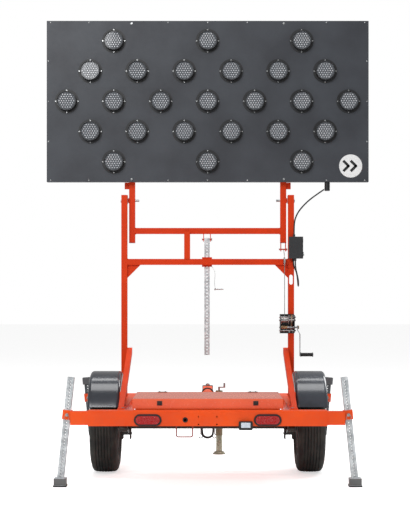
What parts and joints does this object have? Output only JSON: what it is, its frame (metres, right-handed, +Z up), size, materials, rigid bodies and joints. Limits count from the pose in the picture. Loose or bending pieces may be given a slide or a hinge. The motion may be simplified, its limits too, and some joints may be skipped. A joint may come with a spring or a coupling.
{
  "type": "arrow board trailer",
  "caption": "Towable sign trailer with a tilting dark lamp board on an orange twin-post mast, battery box, side winch, tongue jack and perforated outrigger legs.",
  "frame": {"origin": "bottom centre of the whole trailer, on the ground", "axes": "+X to the right seen from behind, +Y forward to the hitch, +Z up"},
  "size_m": [2.4384, 2.45, 3.3552],
  "materials": {
    "frame_orange": "powder-coated orange steel",
    "mast_orange": "powder-coated orange steel tube",
    "handle_red": "painted rod",
    "zinc": "zinc plated",
    "perforated_zinc": "galvanised perforated tube",
    "panel_black": "satin black aluminium sheet",
    "hood_black": "moulded black",
    "lens_grey": "clear ribbed lens",
    "black_plastic": "moulded",
    "tyre": "moulded rubber",
    "wheel_silver": "silver painted steel",
    "axle_black": "black paint",
    "fender_grey": "glossy moulded",
    "black_rubber": "moulded",
    "red_lens": "clear red acrylic",
    "control_grey": "powder coat",
    "winch_black": "black paint",
    "cable_black": "PVC jacket",
    "jack_olive": "olive grey paint",
    "jack_zinc": "zinc plated tube"
  },
  "bodies": {
    "root": {"axle": "axle_black", "batteries": "black_plastic", "battery_box": "frame_orange", "charge_controller": "black_plastic", "chassis_rails": "frame_orange", "control_box": "control_grey", "coupler": "axle_black", "cross_members": "frame_orange", "display_cable": "cable_black", "fenders": "fender_grey", "leaf_springs": "axle_black", "mast_braces": "mast_orange", "mast_crossbar": "mast_orange", "mast_posts": "mast_orange", "outrigger_tubes": "frame_orange", "pins_and_bolts": "zinc", "plate_lamp": "black_plastic", "power_lead": "cable_black", "rear_pull_handle": "handle_red", "safety_chains": "zinc", "spring_mounts": "axle_black", "stop_post": "mast_orange", "tail_light_grommets": "black_rubber", "tail_light_lenses": "red_lens", "tongue_tube": "frame_orange", "tow_lead": "cable_black", "tow_lead_coil": "cable_black", "tow_plug": "black_plastic", "winch_frame": "winch_black", "winch_rope": "zinc"},
    "tilt_board": {"tilt_frame": "mast_orange", "display_panel": "panel_black", "lamp_hoods": "hood_black", "lamp_lenses": "lens_grey", "panel_bolts": "zinc", "display_connector": "black_plastic"},
    "lock_bar": {"lock_bar": "perforated_zinc"},
    "winch_crank": {"winch_crank": "zinc"},
    "winch_grip": {"winch_grip": "black_rubber"},
    "winch_drum": {"winch_drum": "zinc"},
    "sheave": {"sheave": "zinc"},
    "left_wheel": {"left_tyre": "tyre", "left_wheel": "wheel_silver"},
    "right_wheel": {"right_tyre": "tyre", "right_wheel": "wheel_silver"},
    "battery_lid": {"battery_lid": "frame_orange"},
    "control_door": {"control_door": "black_plastic"},
    "jack_outer": {"jack_outer": "jack_olive"},
    "jack_inner": {"jack_inner": "jack_zinc"},
    "jack_crank": {"jack_crank": "zinc"},
    "coupler_latch": {"coupler_latch": "zinc"},
    "front_left_arm": {"front_left_arm": "frame_orange"},
    "front_left_leg": {"front_left_leg": "perforated_zinc"},
    "front_right_arm": {"front_right_arm": "frame_orange"},
    "front_right_leg": {"front_right_leg": "perforated_zinc"},
    "rear_left_arm": {"rear_left_arm": "frame_orange"},
    "rear_left_leg": {"rear_left_leg": "perforated_zinc"},
    "rear_right_arm": {"rear_right_arm": "frame_orange"},
    "rear_right_leg": {"rear_right_leg": "perforated_zinc"}
  },
  "joints": [
    {"name": "board_tilt", "type": "hinge", "parent": "root", "child": "tilt_board", "pos_m": [0, 0.0675, 1.999], "axis": [1, 0, 0], "range_deg": [0, 90]},
    {"name": "lock_bar_swing", "type": "hinge", "parent": "tilt_board", "child": "lock_bar", "pos_m": [-0.005, 0.0675, 1.7025], "axis": [1, 0, 0], "range_deg": [-90, 0]},
    {"name": "winch_crank_turn", "type": "hinge", "parent": "root", "child": "winch_crank", "pos_m": [0.6, -0.055, 1.035], "axis": [1, 0, 0], "continuous": true},
    {"name": "winch_grip_spin", "type": "hinge", "parent": "winch_crank", "child": "winch_grip", "pos_m": [0.737, -0.055, 0.829], "axis": [1, 0, 0], "continuous": true},
    {"name": "winch_drum_turn", "type": "hinge", "parent": "root", "child": "winch_drum", "pos_m": [0.6, -0.077, 1.09], "axis": [1, 0, 0], "continuous": true},
    {"name": "sheave_turn", "type": "hinge", "parent": "root", "child": "sheave", "pos_m": [0.58, -0.034, 1.535], "axis": [1, 0, 0], "continuous": true},
    {"name": "left_wheel_spin", "type": "hinge", "parent": "root", "child": "left_wheel", "pos_m": [-0.736, -0.425, 0.335], "axis": [1, 0, 0], "continuous": true},
    {"name": "right_wheel_spin", "type": "hinge", "parent": "root", "child": "right_wheel", "pos_m": [0.736, -0.425, 0.335], "axis": [1, 0, 0], "continuous": true},
    {"name": "lid_hinge", "type": "hinge", "parent": "root", "child": "battery_lid", "pos_m": [0, -0.484, 0.514], "axis": [-1, 0, 0], "range_deg": [0, 95]},
    {"name": "control_door_hinge", "type": "hinge", "parent": "root", "child": "control_door", "pos_m": [0.719, -0.0025, 1.6365], "axis": [0, 0, 1], "range_deg": [0, 110]},
    {"name": "jack_swivel", "type": "hinge", "parent": "root", "child": "jack_outer", "pos_m": [0.092, 0.585, 0.43], "axis": [1, 0, 0], "range_deg": [0, 90]},
    {"name": "jack_lift", "type": "slide", "parent": "jack_outer", "child": "jack_inner", "axis": [0, 0, 1], "range_m": [-0.1, 0.05]},
    {"name": "jack_crank_turn", "type": "hinge", "parent": "jack_outer", "child": "jack_crank", "pos_m": [0.092, 0.585, 0.509], "axis": [0, 0, 1], "continuous": true},
    {"name": "coupler_latch_lift", "type": "hinge", "parent": "root", "child": "coupler_latch", "pos_m": [0, 1.095, 0.518], "axis": [1, 0, 0], "range_deg": [0, 80]},
    {"name": "rear_left_arm_slide", "type": "slide", "parent": "root", "child": "rear_left_arm", "axis": [-1, 0, 0], "range_m": [-0.08, 0.2]},
    {"name": "rear_left_leg_slide", "type": "slide", "parent": "rear_left_arm", "child": "rear_left_leg", "axis": [0.1045, 0, 0.9945], "range_m": [0, 0.34]},
    {"name": "rear_right_arm_slide", "type": "slide", "parent": "root", "child": "rear_right_arm", "axis": [1, 0, 0], "range_m": [-0.08, 0.2]},
    {"name": "rear_right_leg_slide", "type": "slide", "parent": "rear_right_arm", "child": "rear_right_leg", "axis": [-0.1045, 0, 0.9945], "range_m": [0, 0.34]},
    {"name": "front_left_arm_slide", "type": "slide", "parent": "root", "child": "front_left_arm", "axis": [-1, 0, 0], "range_m": [-0.08, 0.2]},
    {"name": "front_left_leg_slide", "type": "slide", "parent": "front_left_arm", "child": "front_left_leg", "axis": [-0.0872, 0, 0.9962], "range_m": [-0.07, 0.14]},
    {"name": "front_right_arm_slide", "type": "slide", "parent": "root", "child": "front_right_arm", "axis": [1, 0, 0], "range_m": [-0.08, 0.2]},
    {"name": "front_right_leg_slide", "type": "slide", "parent": "front_right_arm", "child": "front_right_leg", "axis": [0.0872, 0, 0.9962], "range_m": [-0.07, 0.14]}
  ],
  "couplings": [
    {"joint": "lock_bar_swing", "follows": "board_tilt", "ratio": -1},
    {"joint": "winch_drum_turn", "follows": "winch_crank_turn", "ratio": -0.48649},
    {"joint": "sheave_turn", "follows": "winch_crank_turn", "ratio": 0.36735}
  ]
}
